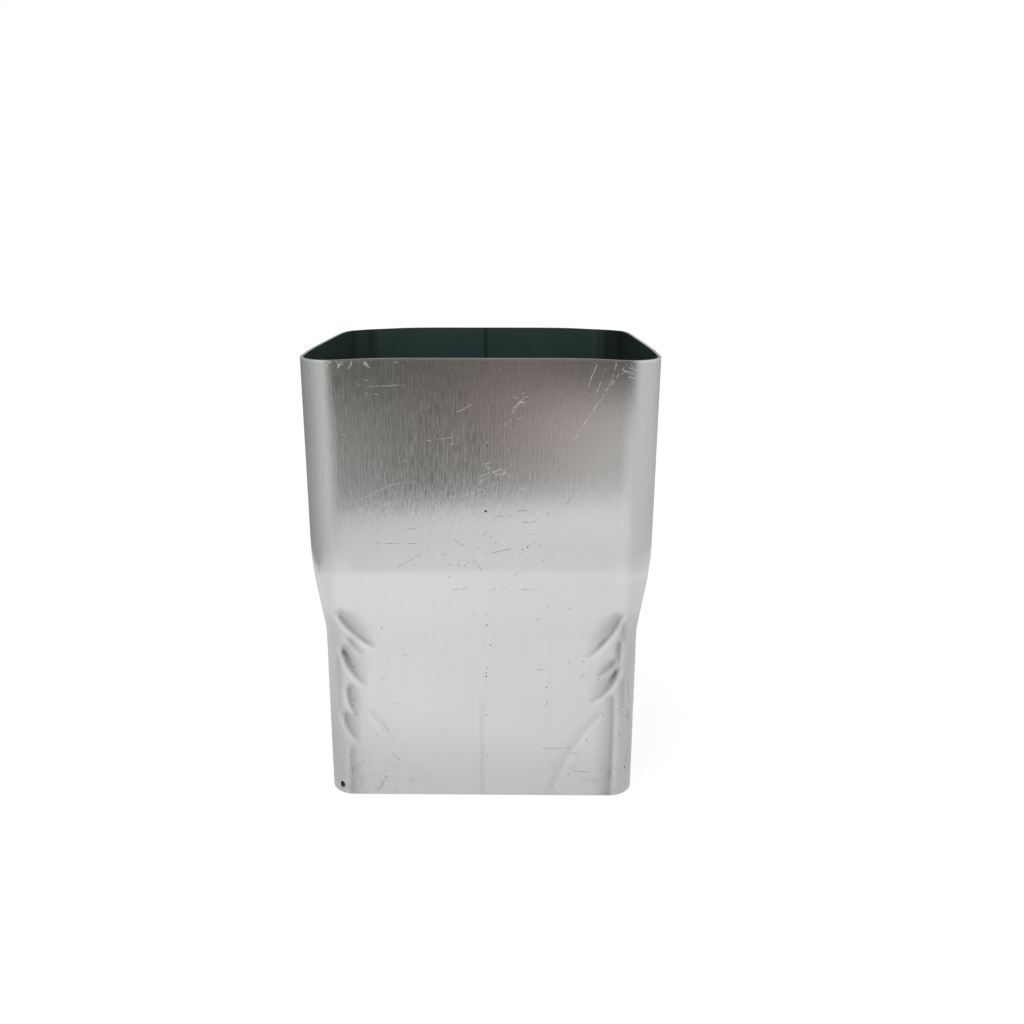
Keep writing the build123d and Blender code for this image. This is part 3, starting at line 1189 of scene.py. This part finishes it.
class COUPLING_OT_drop_specks(bpy.types.Operator):
    """Drops the dark specks on the walls"""

    bl_idname = "coupling.drop_specks"
    bl_label = "Drop Specks"

    def execute(self, context):
        tree, keys, given = new_tree("specks", ["Geometry"], ["Thickness"])
        start = Wire(tree)
        spot = onto_wall(start, bpy.data.objects["sleeve"], 0.0)
        laid = start.add(
            "GeometryNodeSetPosition", None, {"Geometry": given["Geometry"], "Position": spot}
        )
        radius, turn = (
            start.add("GeometryNodeInputNamedAttribute", {"data_type": "FLOAT"}, {"Name": name})
            for name in ("radius", "turn")
        )
        scale = start.vector(radius, given["Thickness"], radius)
        turned = start.vector(0.0, 0.0, turn)
        bead = start.add("GeometryNodeMeshIcoSphere", None, {"Radius": 1.0, "Subdivisions": 2})
        beads = start.add(
            "GeometryNodeInstanceOnPoints",
            None,
            {"Points": laid, "Instance": bead, "Rotation": turned, "Scale": scale},
        )
        close_tree(tree, beads, mark_material("speck", 0.035, 0.02))
        specks = [(wall, *spot) for wall, (spot,) in worn_walls([(spot,) for spot in SPECKS])]
        mesh = bpy.data.meshes.new("speck_places")
        mesh.from_pydata([before_wall(wall, x, z) for wall, x, z, size in specks], [], [])
        sizes = mesh.attributes.new("radius", "FLOAT", "POINT")
        sizes.data.foreach_set("value", [size * MM for wall, x, z, size in specks])
        turns = mesh.attributes.new("turn", "FLOAT", "POINT")
        turns.data.foreach_set("value", [wall * math.pi / 2.0 for wall, x, z, size in specks])
        holder = linked("speck_places", mesh)
        finish_marks(holder, tree, keys, {"Thickness": 0.04 * MM}, "specks")
        return {"FINISHED"}


def new_studio_material(name):
    """Empty material with only its output, for the studio."""
    material = bpy.data.materials.new(name)
    material.use_nodes = True
    tree = material.node_tree
    tree.nodes.clear()
    return material, tree.nodes.new("ShaderNodeOutputMaterial"), Wire(tree)


def ray_kinds(here):
    """Wires that tell rays from the camera, mirrored rays and rays that pass through."""
    rays = here.add("ShaderNodeLightPath").socket.node.outputs
    names = ("Is Camera Ray", "Is Glossy Ray", "Is Transmission Ray")
    return [Wire(here.tree, rays[name]) for name in names]


class COUPLING_OT_set_studio(bpy.types.Operator):
    """Sets the floor, the tent, the light and the camera"""

    bl_idname = "coupling.set_studio"
    bl_label = "Set Studio"

    def execute(self, context):
        studio = context.scene.coupling_studio
        scene = context.scene
        scene.view_settings.view_transform = "Standard"
        self.lay_floor(studio, scene.coupling_sizes)
        self.stand_tent()
        self.light_room(scene, studio)
        self.place_camera(scene, studio)
        return {"FINISHED"}

    def lay_floor(self, studio, sizes):
        """White floor for the camera; where the metal mirrors it, a glow toned from place to place
        with painted light and a painted contact shadow.
        """
        material, leave, here = new_studio_material("studio_floor")
        spot = here.add("ShaderNodeTexCoord", None, None, "Object")
        x, y = spot.part(0), spot.part(1)
        away = here.add("ShaderNodeVectorMath", {"operation": "LENGTH"}, {0: spot}, "Value")
        core, corner = sizes.core, sizes.corner
        past = [(axis.math("ABSOLUTE") - core).math("MAXIMUM", 0.0) for axis in (x, y)]
        edge = (past[0] * past[0] + past[1] * past[1]) ** 0.5 - corner
        under = edge.span(-0.5 * MM, -0.1 * MM)
        # Painted contact shadow round the sleeve's foot, in the glow that the metal mirrors.
        painted_contact_shadow = edge.span(0.0, 0.055, 0.75, 0.985) * under
        turn = x.math("ARCTAN2", y * -1.0)
        brighter = turn.span(-0.30, -0.10, 0.84, 1.28) - turn.span(0.12, 0.26, 0.0, 0.08)
        far = away.span(0.15, 0.24, 1.0, 0.83) * away.span(0.235, 0.30, 1.0, brighter)
        front = turn.math("COSINE").span(0.35, 0.92, 0.83, 1.0)
        slant = (turn * 2.0).math("SINE").math("ABSOLUTE") * away.span(0.055, 0.11)
        middle = away.span(0.065, 0.09) * away.span(0.165, 0.13) * turn.span(-0.20, -0.05)
        # The mirrored glow's level, painted lighter and darker by turn and distance.
        level = painted_contact_shadow * far * front * (1.0 - slant * 0.07 - middle * 0.075)
        # Painted pool of light on the floor inside the sleeve, brightest under its middle, for the
        # camera.
        inside = away.span(0.042, 0.0, 0.0, 0.38)
        camera, mirrored, passed = ray_kinds(here)
        plain = here.add("ShaderNodeBsdfDiffuse", None, {"Color": colour(studio.floor)})
        glow = here.add("ShaderNodeEmission", None, {"Strength": level})
        shade = here.add("ShaderNodeBsdfDiffuse", None, {"Color": colour(studio.floor, 0.36)})
        light = here.add("ShaderNodeEmission", None, {"Strength": under * 0.80 + inside})
        white = here.add("ShaderNodeAddShader", None, {0: shade, 1: light})
        shown = here.add(
            "ShaderNodeMixShader", None, {0: mirrored.math("MAXIMUM", passed), 1: plain, 2: glow}
        )
        shown = here.add("ShaderNodeMixShader", None, {0: camera, 1: shown, 2: white})
        join(shown, leave, "Surface")
        mesh = bpy.data.meshes.new("floor")
        corners = [(FLOOR_REACH * i, FLOOR_REACH * j, 0.0) for i, j in SQUARE]
        mesh.from_pydata(corners, [], [(0, 1, 2, 3)])
        mesh.materials.append(material)
        linked("floor", mesh)

    def stand_tent(self):
        """Tent that only the metal sees, lighter and darker by turn and height."""
        material, leave, here = new_studio_material("light_tent")
        spot = here.add("ShaderNodeTexCoord", None, None, "Object")
        turn = spot.part(0).math("ARCTAN2", spot.part(1) * -1.0) / (2.0 * math.pi) + 0.5
        low = here.add("ShaderNodeValToRGB", {"stops": ramp_stops(TENT_LOW)}, {0: turn})
        high = here.add("ShaderNodeValToRGB", {"stops": ramp_stops(TENT_HIGH)}, {0: turn})
        height = spot.part(2)
        tint = height.span(0.040, 0.072).mix(low, high)
        rosy = height.span(0.010, 0.042) * height.span(0.080, 0.050)
        rosy = rosy * turn.span(0.482, 0.500) * turn.span(0.534, 0.514)
        blend = {"data_type": "RGBA", "blend_type": "MULTIPLY"}
        inputs = {0: rosy, 6: tint, 7: (1.20, 0.96, 0.94, 1.0)}
        tint = here.add("ShaderNodeMix", blend, inputs, 2)
        tint = height.span(0.11, 0.17).mix(tint, (0.42, 0.42, 0.41, 1.0))
        glow = here.add("ShaderNodeEmission", None, {"Color": tint, "Strength": 1.0})
        join(glow, leave, "Surface")
        row = TENT_STEPS + 1
        turns = np.linspace(-math.pi, math.pi, row)
        reach = np.interp(np.degrees(turns), *zip(*TENT_REACH))
        ring = [(r * math.sin(a), -r * math.cos(a)) for r, a in zip(reach, turns)]
        verts = [(x, y, z) for z in (0.0, TENT_HEIGHT) for x, y in ring]
        faces = [(k, k + 1, k + 1 + row, k + row) for k in range(TENT_STEPS)]
        mesh = bpy.data.meshes.new("light_tent")
        mesh.from_pydata(verts, [], faces)
        mesh.materials.append(material)
        tent = linked("light_tent", mesh)
        tent.visible_camera = False
        tent.visible_diffuse = False
        tent.visible_shadow = False

    def light_room(self, scene, studio):
        """Even light from all round, white to the camera, and a soft lamp overhead."""
        world = bpy.data.worlds.new("studio")
        scene.world = world
        world.use_nodes = True
        tree = world.node_tree
        tree.nodes.clear()
        here = Wire(tree)
        light, white = (
            here.add("ShaderNodeBackground", None, {"Color": (1, 1, 1, 1), "Strength": strength})
            for strength in (studio.daylight, 1.0)
        )
        camera, mirrored, passed = ray_kinds(here)
        direct = camera.math("MAXIMUM", mirrored).math("MAXIMUM", passed)
        shown = here.add("ShaderNodeMixShader", None, {0: direct, 1: light, 2: white})
        join(shown, tree.nodes.new("ShaderNodeOutputWorld"), "Surface")
        data = bpy.data.lights.new("soft_lamp", "AREA")
        data.energy = studio.softbox
        data.size = LAMP_SIDE
        lamp = linked("soft_lamp", data)
        lamp.location = LAMP_PLACE
        lamp.rotation_euler = (-Vector(lamp.location)).to_track_quat("-Z", "Y").to_euler()

    def place_camera(self, scene, studio):
        """Camera before the front wall, a little above the rim."""
        data = bpy.data.cameras.new("camera")
        camera = linked("camera", data)
        level = math.cos(CAMERA_PITCH)
        ahead = Vector(
            (level * math.sin(CAMERA_YAW), level * math.cos(CAMERA_YAW), -math.sin(CAMERA_PITCH))
        )
        camera.location = Vector(CAMERA_PLACE) * MM
        camera.rotation_euler = ahead.to_track_quat("-Z", "Y").to_euler()
        data.sensor_width = SENSOR_WIDTH
        data.lens = studio.lens
        data.clip_start = 0.01
        data.shift_x = (PICTURE_SIDE / 2.0 - OPTICAL_CENTRE[0]) / PICTURE_SIDE
        data.shift_y = (OPTICAL_CENTRE[1] - PICTURE_SIDE / 2.0) / PICTURE_SIDE
        scene.camera = camera


class COUPLING_PT_panel(bpy.types.Panel):
    """Sizes, finishes and steps of the coupling"""

    bl_idname = "COUPLING_PT_panel"
    bl_label = "Downpipe Coupling"
    bl_space_type = "VIEW_3D"
    bl_region_type = "UI"
    bl_category = "Coupling"

    def draw(self, context):
        for group in (
            context.scene.coupling_sizes,
            context.scene.coupling_finish,
            context.scene.coupling_studio,
        ):
            box = self.layout.box()
            for name in group.bl_rna.properties.keys():
                if name not in {"rna_type", "name"}:
                    box.prop(group, name)
        for step in STEPS:
            self.layout.operator(step.bl_idname)


STEPS = (
    COUPLING_OT_fold_sleeve,
    COUPLING_OT_draw_hairlines,
    COUPLING_OT_drop_specks,
    COUPLING_OT_set_studio,
)
CLASSES = (SleeveSizes, SheetFinish, StudioSetting, *STEPS, COUPLING_PT_panel)


def register():
    for kind in CLASSES:
        bpy.utils.register_class(kind)
    bpy.types.Scene.coupling_sizes = PointerProperty(type=SleeveSizes)
    bpy.types.Scene.coupling_finish = PointerProperty(type=SheetFinish)
    bpy.types.Scene.coupling_studio = PointerProperty(type=StudioSetting)


def unregister():
    del bpy.types.Scene.coupling_studio
    del bpy.types.Scene.coupling_finish
    del bpy.types.Scene.coupling_sizes
    for kind in reversed(CLASSES):
        bpy.utils.unregister_class(kind)


def main():
    register()
    bpy.ops.coupling.fold_sleeve()
    bpy.ops.coupling.draw_hairlines()
    bpy.ops.coupling.drop_specks()
    bpy.ops.coupling.set_studio()


if __name__ == "__main__":
    main()
